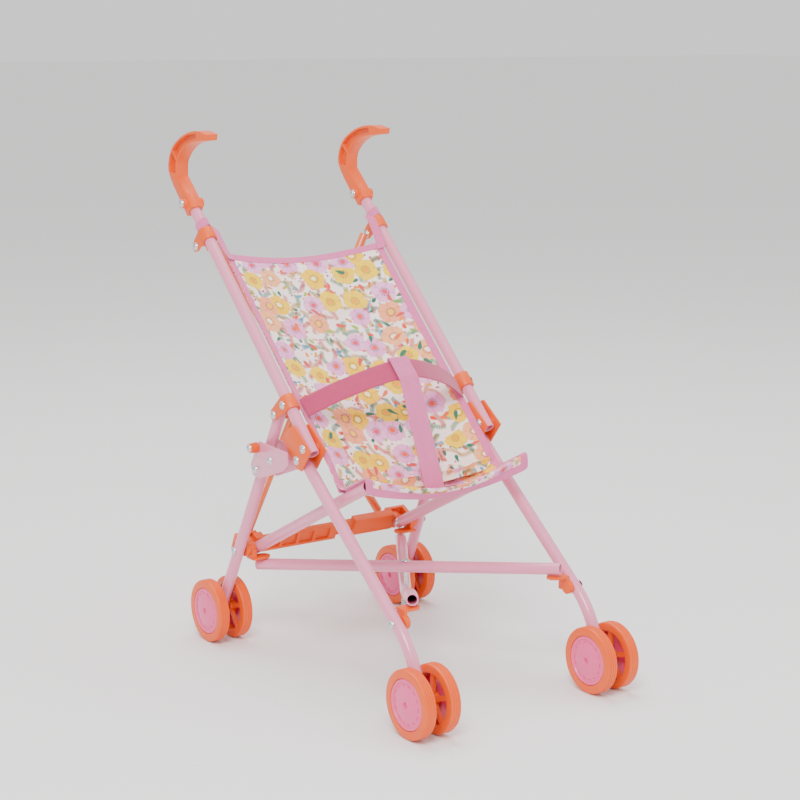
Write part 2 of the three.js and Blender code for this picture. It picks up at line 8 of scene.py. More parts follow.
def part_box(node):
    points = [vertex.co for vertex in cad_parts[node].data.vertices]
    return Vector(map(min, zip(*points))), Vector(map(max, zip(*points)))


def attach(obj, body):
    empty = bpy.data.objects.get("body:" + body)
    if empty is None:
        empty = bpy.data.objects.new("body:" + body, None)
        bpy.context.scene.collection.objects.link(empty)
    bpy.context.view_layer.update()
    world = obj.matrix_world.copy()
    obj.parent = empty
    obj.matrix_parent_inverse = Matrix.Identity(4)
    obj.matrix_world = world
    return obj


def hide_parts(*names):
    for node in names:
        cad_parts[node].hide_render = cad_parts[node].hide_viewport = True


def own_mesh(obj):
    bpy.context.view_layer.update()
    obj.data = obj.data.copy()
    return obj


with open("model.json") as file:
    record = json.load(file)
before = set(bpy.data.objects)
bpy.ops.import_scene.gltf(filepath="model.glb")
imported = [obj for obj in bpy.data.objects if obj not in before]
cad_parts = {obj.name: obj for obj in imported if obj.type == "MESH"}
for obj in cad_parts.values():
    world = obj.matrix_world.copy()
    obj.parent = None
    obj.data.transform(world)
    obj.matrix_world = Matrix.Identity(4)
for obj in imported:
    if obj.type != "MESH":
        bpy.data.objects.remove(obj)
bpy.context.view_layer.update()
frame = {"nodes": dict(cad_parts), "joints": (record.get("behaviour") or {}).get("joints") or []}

# ---- camera, floor and light -------------------------------------------------------
# A still-life set: one long lens, a white table and large soft lamps.
SIDES = {"left": -1, "right": 1}

camera_data = bpy.data.cameras.new("camera")
camera_data.lens = 84.24
camera = bpy.data.objects.new("camera", camera_data)
camera.location = (-1.119, -1.6296, 0.6717)
camera.rotation_euler = (math.radians(90 - 11.107), 0, math.radians(-34.847))
bpy.context.scene.collection.objects.link(camera)
bpy.context.scene.camera = camera


def linear(code):
    """An sRGB hex colour as the linear colour that a shader takes."""
    parts = [int(code[i:i + 2], 16) / 255 for i in (0, 2, 4)]
    return [c / 12.92 if c <= 0.04045 else ((c + 0.055) / 1.055) ** 2.4 for c in parts] + [1]


def add(tree, kind, inputs=None, **settings):
    """Adds a shader node with its settings; inputs are values, or the sockets that feed it."""
    made = tree.nodes.new(kind)
    for name, value in settings.items():
        setattr(made, name, value)
    for name, value in (inputs or {}).items():
        if isinstance(value, bpy.types.NodeSocket):
            tree.links.new(value, made.inputs[name])
        else:
            made.inputs[name].default_value = value
    return made


def new_material(name, **shader):
    """A material with its one Principled shader, whose sockets are set by their names."""
    made = bpy.data.materials.new(name)
    made.use_nodes = True
    principled = made.node_tree.nodes["Principled BSDF"]
    for socket, value in shader.items():
        principled.inputs[socket.replace("_", " ")].default_value = value
    return made, made.node_tree, principled


world = bpy.data.worlds.new("studio")
world.use_nodes = True
world.node_tree.nodes["Background"].inputs["Color"].default_value = (1, 1, 1, 1)
world.node_tree.nodes["Background"].inputs["Strength"].default_value = 1.05
bpy.context.scene.world = world

for lamp_name, place, aim, size, power in (
        ("key_lamp", (-1.3, -1.5, 2.2), (0, 0, 0.25), 1.1, 62),
        ("fill_lamp", (1.9, -1.2, 1.4), (0, 0, 0.25), 1.6, 8),
        ("top_lamp", (0.2, 0.6, 2.4), (0, 0, 0.2), 1.8, 34)):
    lamp = bpy.data.lights.new(lamp_name, "AREA")
    lamp.shape = "DISK"
    lamp.size = size
    lamp.energy = power
    lamp_object = bpy.data.objects.new(lamp_name, lamp)
    lamp_object.location = place
    lamp_object.rotation_euler = (Vector(aim) - Vector(place)).to_track_quat("-Z", "Y").to_euler()
    bpy.context.scene.collection.objects.link(lamp_object)

table_white, tree, shader = new_material("matt_white_table", Roughness=0.85)
shader.inputs["Base Color"].default_value = linear("f6f5f4")
bpy.ops.mesh.primitive_plane_add(size=80, location=(0, 0, -0.0004))
floor = bpy.context.object
floor.name = "floor"
floor.data.materials.append(table_white)

# ---- places on the frame -----------------------------------------------------------
# The handle tubes run straight from the seat bracket to the grips, so most places on the
# stroller are a distance along that tube and a distance above it.
joint = {j["name"]: j for j in frame["joints"]}
TUBE_R = 0.00635
TUBE_WALL = 0.0014
HALF_TRACK = 0.114
ALONG = -Vector(joint["left_brace_mount_slide"]["axis"])
ABOVE = Vector((0, -ALONG.z, ALONG.y))
ACROSS = Vector((1, 0, 0))


def pivot(name):
    return Vector(joint[name]["pos_m"])


HANDLE_FOOT = pivot("left_front_leg_fold") - 0.008 * ALONG
HANDLE_FOOT.x = 0
HANDLE_NECK = 0.3357


def on_handle(x, along, above=0.0):
    """A point beside a handle tube, at x across the stroller."""
    return HANDLE_FOOT + x * ACROSS + along * ALONG + above * ABOVE


def settle(piece, body, slot, material, *replaced):
    """Gives a finished piece its material, and the body and nodes it stands for. The slot is not used."""
    piece.data.materials.clear()
    piece.data.materials.append(material)
    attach(piece, body)
    if replaced:
        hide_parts(*replaced)
    return piece


def only(piece):
    """Leaves this one piece selected and active."""
    bpy.ops.object.select_all(action="DESELECT")
    piece.select_set(True)
    bpy.context.view_layer.objects.active = piece


def harden(piece, angle=35):
    """Bakes the piece's place into its mesh and shades its round stretches smooth."""
    only(piece)
    bpy.ops.object.transform_apply(location=True, rotation=True, scale=True)
    bpy.ops.object.shade_smooth_by_angle(angle=math.radians(angle))
    return piece


def apply_modifiers(piece):
    only(piece)
    for modifier in list(piece.modifiers):
        bpy.ops.object.modifier_apply(modifier=modifier.name)


def bevel(piece, width, segments=2, angle=32):
    """Rounds the moulded edges of a piece."""
    modifier = piece.modifiers.new("bevel", "BEVEL")
    modifier.width = width
    modifier.segments = segments
    modifier.limit_method = "ANGLE"
    modifier.angle_limit = math.radians(angle)
    modifier.harden_normals = False
    apply_modifiers(piece)


def joined(name, parts):
    """Joins finished parts into one piece."""
    only(parts[0])
    for part in parts:
        part.select_set(True)
    if len(parts) > 1:
        bpy.ops.object.join()
    piece = bpy.context.object
    piece.name = name
    piece.data.name = name
    return piece


# ---- enamelled steel tube ------------------------------------------------------------
# Half-inch steel tube, cut square and left open at its ends, then powder coated in a glossy
# pale pink. The coat pools very slightly, so its gloss wavers over a few millimetres.
PINK_ENAMEL = "ee8dae"
CORAL_ENAMEL = "ea6c2c"
ENAMEL_RIPPLE = 0.006
TUBE_SIDES = 40


def enamel(name, colour):
    made, tree, shader = new_material(name, Roughness=0.3, Coat_Weight=0.6, Coat_Roughness=0.12, IOR=1.5)
    place = add(tree, "ShaderNodeTexCoord").outputs["Object"]
    ripple = add(tree, "ShaderNodeTexNoise", {"Vector": place, "Scale": 1 / ENAMEL_RIPPLE, "Detail": 2})
    grime = add(tree, "ShaderNodeTexNoise", {"Vector": place, "Scale": 1 / 0.05, "Detail": 4})
    tone = add(tree, "ShaderNodeMix", {"Factor": grime.outputs["Fac"]}, data_type="RGBA")
    tone.inputs["A"].default_value = linear(colour)
    tone.inputs["B"].default_value = [0.93 * c for c in linear(colour)[:3]] + [1]
    tree.links.new(tone.outputs["Result"], shader.inputs["Base Color"])
    gloss = add(tree, "ShaderNodeMapRange", {"Value": grime.outputs["Fac"], "To Min": 0.22, "To Max": 0.38})
    tree.links.new(gloss.outputs["Result"], shader.inputs["Roughness"])
    bump = add(tree, "ShaderNodeBump", {"Height": ripple.outputs["Fac"], "Strength": 0.12, "Distance": 0.0002})
    tree.links.new(bump.outputs["Normal"], shader.inputs["Normal"])
    return made


pink_enamel = enamel("pink_powder_coated_steel", PINK_ENAMEL)
coral_enamel = enamel("coral_powder_coated_steel", CORAL_ENAMEL)


def tube(name, points, radius=TUBE_R, wall=TUBE_WALL):
    """A tube drawn along a line of points, with its wall, open ends and rounded lips."""
    line = bpy.data.curves.new(name, "CURVE")
    line.dimensions = "3D"
    line.bevel_depth = radius
    line.bevel_resolution = TUBE_SIDES // 4 - 2
    spline = line.splines.new("POLY")
    spline.points.add(len(points) - 1)
    for spot, point in zip(spline.points, points):
        spot.co = (*point, 1)
    piece = bpy.data.objects.new(name, line)
    bpy.context.scene.collection.objects.link(piece)
    only(piece)
    bpy.ops.object.convert(target="MESH")
    piece = bpy.context.object
    piece.name = name
    piece.data.name = name
    bpy.ops.object.mode_set(mode="EDIT")
    bpy.ops.mesh.select_all(action="SELECT")
    bpy.ops.mesh.remove_doubles(threshold=1e-6)
    bpy.ops.mesh.normals_make_consistent(inside=False)
    bpy.ops.object.mode_set(mode="OBJECT")
    thick = piece.modifiers.new("wall", "SOLIDIFY")
    thick.thickness = wall
    thick.offset = -1
    apply_modifiers(piece)
    bevel(piece, 0.0003, 1, 60)
    return harden(piece, 40)


def bent(points, corner, reach, steps=14):
    """A line of points with one corner, by index, rounded over reach to either side."""
    before, at, after = points[corner - 1], points[corner], points[corner + 1]
    start = at + (before - at).normalized() * reach
    end = at + (after - at).normalized() * reach
    arc = []
    for i in range(steps + 1):
        t = i / steps
        arc.append((1 - t) ** 2 * start + 2 * t * (1 - t) * at + t * t * end)
    return points[:corner] + arc + points[corner + 1:]


# ---- handle tubes --------------------------------------------------------------------
# One straight tube each side, from the seat bracket up into the hooked grip.
GRIP_SOCKET = 0.028

for hand, side in SIDES.items():
    x = side * HALF_TRACK
    piece = tube(f"{hand}_handle_steel", [on_handle(x, 0), on_handle(x, HANDLE_NECK + GRIP_SOCKET)])
    settle(piece, f"{hand}_side", "frame_paint", pink_enamel, f"{hand}_handle_tube")

# ---- legs ------------------------------------------------------------------------------
# The front leg runs straight down from the seat bracket and bends once above its wheels.
# The rear leg is straight and splays outwards. Both are drilled for an axle.
LEG_TOP = Vector((0, 0.01283, -0.01454))
LEG_SLOPE = math.radians(218.4)
ANKLE_Z = 0.086
TUBE_END = 0.007  # tube left past a rivet or an axle
ANKLE_REACH = 0.0205

for hand, side in SIDES.items():
    x = side * HALF_TRACK
    slope = Vector((0, math.cos(LEG_SLOPE), math.sin(LEG_SLOPE)))
    rivet = pivot(f"{hand}_front_leg_fold") + LEG_TOP
    axle_at = pivot(f"front_{hand}_wheels_roll")
    ankle = rivet + slope * ((ANKLE_Z - rivet.z) / slope.z)
    foot = axle_at + (axle_at - ankle).normalized() * TUBE_END
    line = bent([rivet - slope * TUBE_END, ankle, foot], 1, ANKLE_REACH)
    settle(tube(f"{hand}_front_leg_steel", line), f"{hand}_front_leg", "frame_paint", pink_enamel,
           f"{hand}_front_leg")
    top = pivot(f"{hand}_rear_leg_fold")
    axle_at = pivot(f"rear_{hand}_wheels_roll")
    run = (axle_at - top).normalized() * TUBE_END
    settle(tube(f"{hand}_rear_leg_steel", [top - run, axle_at + run]), f"{hand}_rear_leg", "frame_paint",
           pink_enamel, f"{hand}_rear_leg")

# ---- side rails ------------------------------------------------------------------------
# They carry the seat's sides, riveted across both legs, and stop in the seat's front corners.
RAIL_NOSE = (0.0029, 0.0056)  # the front end's middle, inside the rail's box

for hand, side in SIDES.items():
    rear = pivot(f"{hand}_side_rail_turn")
    low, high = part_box(f"{hand}_side_rail")
    front = Vector((rear.x, low.y + RAIL_NOSE[0], high.z - RAIL_NOSE[1]))
    run = (front - rear).normalized()
    settle(tube(f"{hand}_side_rail_steel", [rear - run * TUBE_END, front]), f"{hand}_side_rail", "frame_paint",
           pink_enamel, f"{hand}_side_rail")

# ---- lower braces ------------------------------------------------------------------------
# Two tubes cross low between the legs. The left one is straight and the right one sags
# below it, so that they can scissor together as the stroller narrows.
FRONT_BOLT = Vector((0.091, -0.173823, 0.1216))
CROSSING_SAG = 0.027
SAG_STEPS = 48

for hand, side in SIDES.items():
    rear = pivot(f"{hand}_lower_brace_turn")
    front = Vector((-side * FRONT_BOLT.x, FRONT_BOLT.y, FRONT_BOLT.z))
    run = (front - rear).normalized() * TUBE_END
    start, end = rear - run, front + run
    sag = CROSSING_SAG if side > 0 else 0
    steps = SAG_STEPS if sag else 1
    line = []
    for i in range(steps + 1):
        t = i / steps
        line.append(start.lerp(end, t) - Vector((0, 0, sag * math.sin(math.pi * t) ** 2)))
    settle(tube(f"{hand}_lower_brace_steel", line), f"{hand}_lower_brace", "frame_paint", pink_enamel,
           f"{hand}_lower_brace")

# ---- back braces ---------------------------------------------------------------------------
# Thinner coral tubes that cross behind the seat, from the clamps on the handle tubes down to
# the rear legs.
BACK_TUBE_R = 0.005
BACK_TUBE_WALL = 0.0012
BACK_TOP = (0.018, 0.005, 0.003)  # the top end's middle: inside the handle tube, and inside the brace's box

for hand, side in SIDES.items():
    low = pivot(f"{hand}_back_brace_turn")
    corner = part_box(f"{hand}_back_brace")[1]
    top = Vector((side * (HALF_TRACK - BACK_TOP[0]), corner.y - BACK_TOP[1], corner.z - BACK_TOP[2]))
    settle(tube(f"{hand}_back_brace_steel", [low, top], BACK_TUBE_R, BACK_TUBE_WALL), f"{hand}_back_brace",
           "coral_paint", coral_enamel, f"{hand}_back_brace")

# ---- moulded orange fittings ------------------------------------------------------------
# Injection-moulded nylon in one bright orange, satin from the mould, with rounded edges.
# Each is a copy of the working shape, cleaned of its flat facets and rounded.
ORANGE_NYLON = "f25a00"


def moulding(name, colour, rough=0.42):
    made, tree, shader = new_material(name, IOR=1.5, Subsurface_Weight=0.04, Subsurface_Scale=0.002)
    place = add(tree, "ShaderNodeTexCoord").outputs["Object"]
    sink = add(tree, "ShaderNodeTexNoise", {"Vector": place, "Scale": 1 / 0.02, "Detail": 3})
    grain = add(tree, "ShaderNodeTexNoise", {"Vector": place, "Scale": 1 / 0.0008, "Detail": 2})
    tone = add(tree, "ShaderNodeMix", {"Factor": sink.outputs["Fac"]}, data_type="RGBA")
    tone.inputs["A"].default_value = linear(colour)
    tone.inputs["B"].default_value = [0.9 * c for c in linear(colour)[:3]] + [1]
    tree.links.new(tone.outputs["Result"], shader.inputs["Base Color"])
    gloss = add(tree, "ShaderNodeMapRange", {"Value": sink.outputs["Fac"], "To Min": rough - 0.08,
                                            "To Max": rough + 0.08})
    tree.links.new(gloss.outputs["Result"], shader.inputs["Roughness"])
    bump = add(tree, "ShaderNodeBump", {"Height": grain.outputs["Fac"], "Strength": 0.15, "Distance": 0.0001})
    tree.links.new(bump.outputs["Normal"], shader.inputs["Normal"])
    return made


orange_nylon = moulding("orange_moulded_nylon", ORANGE_NYLON)


def rounded_copy(node, name, width, segments=2):
    """A copy of a working shape with its corners merged, its facets joined and its edges rounded."""
    source = frame["nodes"][node]
    piece = source.copy()
    piece.data = source.data.copy()
    piece.parent = None
    piece.matrix_world = source.matrix_world.copy()
    piece.name = name
    piece.data.name = name
    for key in [key for key in piece.keys() if key.startswith("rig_")]:
        del piece[key]
    bpy.context.scene.collection.objects.link(piece)
    only(piece)
    bpy.ops.object.transform_apply(location=True, rotation=True, scale=True)
    bpy.ops.object.mode_set(mode="EDIT")
    bpy.ops.mesh.select_all(action="SELECT")
    bpy.ops.mesh.remove_doubles(threshold=2e-6)
    bpy.ops.mesh.dissolve_limited(angle_limit=math.radians(1))
    bpy.ops.object.mode_set(mode="OBJECT")
    bevel(piece, width, segments, 25)
    return harden(piece, 30)


def ribbon(name, points, wide, width, thickness):
    """A tape along points, wide along one direction, with a flat map in metres for its weave."""
    bpy.ops.mesh.primitive_grid_add(x_subdivisions=6, y_subdivisions=len(points) - 1, size=2)
    piece = bpy.context.object
    piece.name = name
    piece.data.uv_layers[0].name = "flat"
    length = sum((b - a).length for a, b in zip(points, points[1:]))
    flat_map = piece.data.uv_layers["flat"].data
    for corner in piece.data.loops:
        spot = piece.data.vertices[corner.vertex_index].co
        flat_map[corner.index].uv = (spot.x * width / 2, (spot.y + 1) / 2 * length)
    for vertex in piece.data.vertices:
        share = (vertex.co.y + 1) / 2 * (len(points) - 1)
        k = min(round(share), len(points) - 1)
        direction = wide(k / (len(points) - 1))
        vertex.co = points[k] + direction * (vertex.co.x * width / 2)
    thick = piece.modifiers.new("thickness", "SOLIDIFY")
    thick.thickness = thickness
    thick.offset = 0
    apply_modifiers(piece)
    bevel(piece, thickness * 0.3, 2, 60)
    return harden(piece, 60)


def smooth_line(corners, steps):
    """A smooth line through a few points."""
    line = []
    for i in range(len(corners) - 1):
        p0, p1 = corners[max(i - 1, 0)], corners[i]
        p2, p3 = corners[i + 1], corners[min(i + 2, len(corners) - 1)]
        for k in range(steps):
            t = k / steps
            line.append(0.5 * (2 * p1 + (p2 - p0) * t + (2 * p0 - 5 * p1 + 4 * p2 - p3) * t * t
                               + (3 * p1 - p0 - 3 * p2 + p3) * t ** 3))
    return line + [corners[-1]]


# Two wells in each flat side of the hook, as (past the grip's rim, above the tube) in millimetres:
# the outer edge of a well and then its inner edge. The rib is left between the two.
GRIP_WELLS = (
    (((60.0, -0.4), (66.5, 4.5), (70.8, 12.5), (72.4, 19.0)), ((58.6, 19.0), (56.8, 14.5), (50.5, 7.0))),
    (((72.6, 21.6), (71.8, 30), (68.8, 41), (60.2, 58.6), (47.5, 74.5)),
     ((43.2, 71.0), (50.4, 60.2), (57.4, 45), (59.9, 31), (59.3, 21.6))),
)
WELL_DEPTH = 0.005
GRIP_HALF = 0.0075  # half the width between its flat sides


def well_shape(x, outline):
    """A flat-bottomed cutter from the outer and inner edge of a well, in millimetres on the grip."""
    rim = []
    for edge in outline:
        rim += smooth_line([on_handle(x, HANDLE_NECK + a / 1000, b / 1000) for a, b in edge], 4)
    mesh = bpy.data.meshes.new("well")
    mesh.from_pydata(rim, [], [list(range(len(rim)))])
    cutter = bpy.data.objects.new("well", mesh)
    bpy.context.scene.collection.objects.link(cutter)
    thick = cutter.modifiers.new("depth", "SOLIDIFY")
    thick.thickness = 2 * WELL_DEPTH
    thick.offset = 0
    apply_modifiers(cutter)
    return cutter


def hollow_grip(piece, x):
    """Cuts the grip's wells into both its sides, with a rib left between them."""
    for face in (-1, 1):
        for outline in GRIP_WELLS:
            well = well_shape(x + face * GRIP_HALF, outline)
            carve = piece.modifiers.new("well", "BOOLEAN")
            carve.operation = "DIFFERENCE"
            carve.object = well
            apply_modifiers(piece)
            bpy.data.objects.remove(well)
    return harden(piece, 30)


MOULDED = {
    "side": (("handle_grip", 0.0012), ("leg_collar", 0.0006)),
    "brace_mount": (("brace_mount", 0.0006),),
    "front_leg": (("seat_bracket", 0.0006),),
    "rear_brace_bracket": (("rear_brace_bracket", 0.0005),),
    "front_brace_bracket": (("front_brace_bracket", 0.0005),),
    "rear_leg": (("rear_joint", 0.0005),),
    "crossbar": (("crossbar_half", 0.0005),),
}
for hand in SIDES:
    for body, fittings in MOULDED.items():
        for fitting, width in fittings:
            piece = rounded_copy(f"{hand}_{fitting}", f"{hand}_{fitting}_moulding", width)
            if fitting == "handle_grip":
                piece = hollow_grip(piece, SIDES[hand] * HALF_TRACK)
            settle(piece, f"{hand}_{body}", "orange_plastic", orange_nylon, f"{hand}_{fitting}")

# ---- lock links ---------------------------------------------------------------------------
# Two pressed steel plates on each rear leg, in the frame's pink, which catch the seat bracket.
for hand in SIDES:
    for which in ("inner", "outer"):
        piece = rounded_copy(f"{hand}_lock_link_{which}", f"{hand}_{which}_link_plate", 0.0003)
        settle(piece, f"{hand}_lock_link", "frame_paint", pink_enamel, f"{hand}_lock_link_{which}")

# ---- wheels ------------------------------------------------------------------------------------
# Each is one orange moulding: a tyre with three shallow grooves, five flat spokes and a hub
# that turns on the axle. A domed pink cap is pressed on its face, dimpled near its edge.
WHEEL_R = 0.035
TYRE_HALF = 0.0063
RIM_R = 0.026
HUB_R = 0.0065
SPOKES = 5
SPOKE_T = 0.0032
SPOKE_SET = 0.003  # behind the middle of the wheel, so that the cap fits in front
GROOVES = 3
GROOVE_DEPTH = 0.0005
GROOVE_PITCH = 0.0028
CAP_R = RIM_R - 0.0004
CAP_SLOTS = 14
SLOT_AT = 0.0196
SLOT = (0.0024, 0.0046, 0.0015)
PINK_PLASTIC = "f45a94"


def spun(name, outline, middle, sides=96):
    """A ring turned about X from (radius, x) points, open or closed on the axis."""
    mesh = bpy.data.meshes.new(name)
    mesh.from_pydata([(x, 0, r) for r, x in outline], [(i, i + 1) for i in range(len(outline) - 1)], [])
    piece = bpy.data.objects.new(name, mesh)
    bpy.context.scene.collection.objects.link(piece)
    only(piece)
    bpy.ops.object.mode_set(mode="EDIT")
    bpy.ops.mesh.select_all(action="SELECT")
    bpy.ops.mesh.spin(steps=sides, angle=2 * math.pi, center=(0, 0, 0), axis=(1, 0, 0))
    bpy.ops.mesh.select_all(action="SELECT")
    bpy.ops.mesh.remove_doubles(threshold=2e-6)
    bpy.ops.mesh.normals_make_consistent(inside=False)
    bpy.ops.object.mode_set(mode="OBJECT")
    piece.location = middle
    return piece


def tyre_outline():
    """The section of the tyre, closed on itself, with its grooves cut into the tread."""
    tread = [(WHEEL_R - 0.002, -TYRE_HALF), (WHEEL_R - 0.0006, -TYRE_HALF + 0.0006),
             (WHEEL_R, -TYRE_HALF + 0.002)]
    for i in range(GROOVES):
        middle = (i - (GROOVES - 1) / 2) * GROOVE_PITCH
        tread += [(WHEEL_R, middle - 0.0005), (WHEEL_R - GROOVE_DEPTH, middle - 0.0002),
                  (WHEEL_R - GROOVE_DEPTH, middle + 0.0002), (WHEEL_R, middle + 0.0005)]
    tread += [(WHEEL_R, TYRE_HALF - 0.002), (WHEEL_R - 0.0006, TYRE_HALF - 0.0006),
              (WHEEL_R - 0.002, TYRE_HALF)]
    inside = [(RIM_R + 0.0006, TYRE_HALF), (RIM_R, TYRE_HALF - 0.0006), (RIM_R, -TYRE_HALF + 0.0006),
              (RIM_R + 0.0006, -TYRE_HALF)]
    return tread + inside + [tread[0]]


def wheel_moulding(name, middle, outward):
    tyre = spun(name, tyre_outline(), middle)
    hub_face = TYRE_HALF - 0.0045
    hub = spun("hub", [(HUB_R - 0.0035, -TYRE_HALF), (HUB_R, -TYRE_HALF), (HUB_R, hub_face),
                       (HUB_R - 0.0035, hub_face), (HUB_R - 0.0035, -TYRE_HALF)], middle, 40)
    if outward < 0:
        hub.rotation_euler.z = math.pi
    parts = [tyre, hub]
    for i in range(SPOKES):
        bpy.ops.mesh.primitive_cube_add(size=1)
        spoke = bpy.context.object
        size = (SPOKE_T, SPOKE_T * 1.6, RIM_R - HUB_R + 0.002)
        turn = Matrix.Rotation(2 * math.pi * i / SPOKES, 4, "X")
        spoke.matrix_world = (Matrix.Translation(middle - outward * SPOKE_SET * ACROSS) @ turn
                              @ Matrix.Translation((0, 0, (RIM_R + HUB_R) / 2)) @ Matrix.Diagonal((*size, 1)))
        parts.append(spoke)
    for part in parts:
        harden(part, 40)
    return joined(name, parts)


def wheel_cap(name, middle, outward):
    """A shallow dome with a raised rim and an eye, facing outward, and short slots near its edge."""
    face = [(0.0, 0.0048), (0.0026, 0.0048), (0.003, 0.0066), (0.0038, 0.0074), (0.009, 0.0072),
            (0.014, 0.0064), (0.0185, 0.0052), (CAP_R - 0.0036, 0.0049), (CAP_R - 0.0026, 0.0062),
            (CAP_R - 0.0009, 0.0062), (CAP_R, 0.0054), (CAP_R, 0.0022), (CAP_R - 0.0012, 0.0022),
            (CAP_R - 0.0012, 0.0036), (0.0, 0.0036)]
    piece = spun(name, [(r, outward * x) for r, x in face], middle, 84)
    harden(piece, 30)
    dents = []
    for i in range(CAP_SLOTS):
        turn = 2 * math.pi * (i + 0.5) / CAP_SLOTS
        bpy.ops.mesh.primitive_cube_add(size=1)
        dent = bpy.context.object
        spot = Matrix.Translation(middle + Vector((outward * 0.0056, 0, 0)))
        dent.matrix_world = (spot @ Matrix.Rotation(turn, 4, "X") @ Matrix.Translation((0, 0, SLOT_AT))
                             @ Matrix.Diagonal((*SLOT, 1)))
        bevel(dent, 0.1, 2)
        dents.append(harden(dent))
    cutter = joined("slots", dents)
    carve = piece.modifiers.new("slots", "BOOLEAN")
    carve.operation = "DIFFERENCE"
    carve.object = cutter
    apply_modifiers(piece)
    bpy.data.objects.remove(cutter)
    return harden(piece, 30)


pink_plastic = moulding("pink_moulded_plastic", PINK_PLASTIC, 0.3)
zinc, tree, shader = new_material("bright_zinc_plate", Metallic=1.0, Roughness=0.24)
shader.inputs["Base Color"].default_value = linear("cfd2d6")
place = add(tree, "ShaderNodeTexCoord").outputs["Object"]
haze = add(tree, "ShaderNodeTexNoise", {"Vector": place, "Scale": 1 / 0.003, "Detail": 3})
gloss = add(tree, "ShaderNodeMapRange", {"Value": haze.outputs["Fac"], "To Min": 0.16, "To Max": 0.34})
tree.links.new(gloss.outputs["Result"], shader.inputs["Roughness"])
WHEEL_HALF_PITCH = 0.0147
AXLE_R = 0.0025
AXLE_PAST = 0.0019  # past the middle of each wheel

for end in ("front", "rear"):
    for hand, side in SIDES.items():
        axle_at = pivot(f"{end}_{hand}_wheels_roll")
        body = f"{end}_{hand}_wheels"
        for outward in (-1, 1):
            which = "outer" if outward == side else "inner"
            middle = axle_at + Vector((outward * WHEEL_HALF_PITCH, 0, 0))
            piece = wheel_moulding(f"{end}_{hand}_{which}_tyre_and_spokes", middle, outward)
            settle(piece, body, "orange_plastic", orange_nylon, f"{end}_{hand}_{which}_wheel")
            piece = wheel_cap(f"{end}_{hand}_{which}_pink_cap", middle, outward)
            settle(piece, body, "pink_plastic", pink_plastic, f"{end}_{hand}_{which}_cap")
        bpy.ops.mesh.primitive_cylinder_add(vertices=32, radius=AXLE_R,
                                            depth=2 * (WHEEL_HALF_PITCH + AXLE_PAST), location=axle_at,
                                            rotation=(0, math.pi / 2, 0))
        piece = bpy.context.object
        piece.name = f"{end}_{hand}_steel_axle"
        bevel(piece, 0.0003)
        settle(harden(piece), body, "steel", zinc, f"{end}_{hand}_axle")

# ---- rivets and screws -------------------------------------------------------------------------
# Domed zinc-plated heads stand on a small washer on both sides of each joint. Each piece below is
# one body's heads, at the fitting's outer and inner faces.
RIVET_HEAD = [(0.0, 0.0024), (0.0014, 0.0022), (0.0026, 0.0016), (0.0033, 0.0008), (0.0035, 0.0), (0.0, 0.0)]
WASHER = [(0.0, 0.0005), (0.0045, 0.0005), (0.0048, 0.0), (0.0, 0.0)]
CLAMP_HALF = 0.009  # half widths over the clamps, the grip's boss and the seat bracket
BOSS_HALF = 0.013
BRACKET_HALF = 0.01
LINK_FACE = 0.12825
LINK_CATCH = (-0.03, 0.0155)
COLLAR_PIN = (0.0689, -0.0226)  # along the handle tube, and above its axis
MOUNT_PIN = (0.299, -0.017)
COLLAR_AT = 0.065
BOSS_AT = 0.012
RAIL_SPACER = 0.0083
CROSSBAR_PIN = (0.099, 0.108)  # x and z
CROSSBAR_HALF_T = 0.0092


def rivet(spot, out):
    """A domed head at a spot, standing out along a direction."""
    head = spun("rivet", RIVET_HEAD, Vector((0, 0, 0)), 28)
    parts = [head, spun("washer", WASHER, Vector((0, 0, 0)), 32)]
    turn = ACROSS.rotation_difference(out).to_matrix().to_4x4()
    for part in parts:
        part.matrix_world = Matrix.Translation(spot) @ turn
        harden(part, 40)
    return joined("rivet", parts)


for hand, side in SIDES.items():
    out = side * ACROSS
    x = side * HALF_TRACK
    collar = on_handle(x, *COLLAR_PIN)
    mount = on_handle(x, *MOUNT_PIN)
    boss = on_handle(x, HANDLE_NECK + BOSS_AT)
    hinge = pivot(f"{hand}_front_leg_fold")
    leg_top = hinge + LEG_TOP
    link_at = pivot(f"{hand}_lock_link_turn")
    rail_rear = pivot(f"{hand}_side_rail_turn")
    front_rivet = pivot(f"{hand}_front_brace_bracket_turn")
    bar_way = -Vector(joint[f"{hand}_crossbar_turn"]["axis"])
    bar_pin = Vector((side * CROSSBAR_PIN[0], pivot(f"{hand}_crossbar_turn").y, CROSSBAR_PIN[1]))
    groups = {
        "side": [(collar + out * CLAMP_HALF, out), (collar - out * CLAMP_HALF, -out),
                 (boss + out * BOSS_HALF, out), (boss - out * BOSS_HALF, -out),
                 (on_handle(x, COLLAR_AT) + out * CLAMP_HALF, out)],
        "brace_mount": [(mount + out * CLAMP_HALF, out), (mount - out * CLAMP_HALF, -out)],
        "front_leg": [(hinge + out * BRACKET_HALF, out), (hinge - out * BRACKET_HALF, -out),
                      (leg_top + out * BRACKET_HALF, out), (leg_top - out * BRACKET_HALF, -out),
                      (Vector((x + side * TUBE_R, front_rivet.y, front_rivet.z)), out)],
        "lock_link": [(Vector((side * LINK_FACE, link_at.y, link_at.z)), out),
                      (Vector((side * LINK_FACE, link_at.y + LINK_CATCH[0], link_at.z + LINK_CATCH[1])), out)],
        "rear_leg": [(Vector((x + side * (RAIL_SPACER + TUBE_R), rail_rear.y, rail_rear.z)), out),
                     (bar_pin + CROSSBAR_HALF_T * bar_way, bar_way)],
        "side_rail": [(Vector((rail_rear.x - side * TUBE_R, rail_rear.y, rail_rear.z)), -out)],
    }
    for body, heads in groups.items():
        piece = joined(f"{hand}_{body}_rivets", [rivet(spot, way) for spot, way in heads])
        settle(piece, f"{hand}_{body}", "steel", zinc)

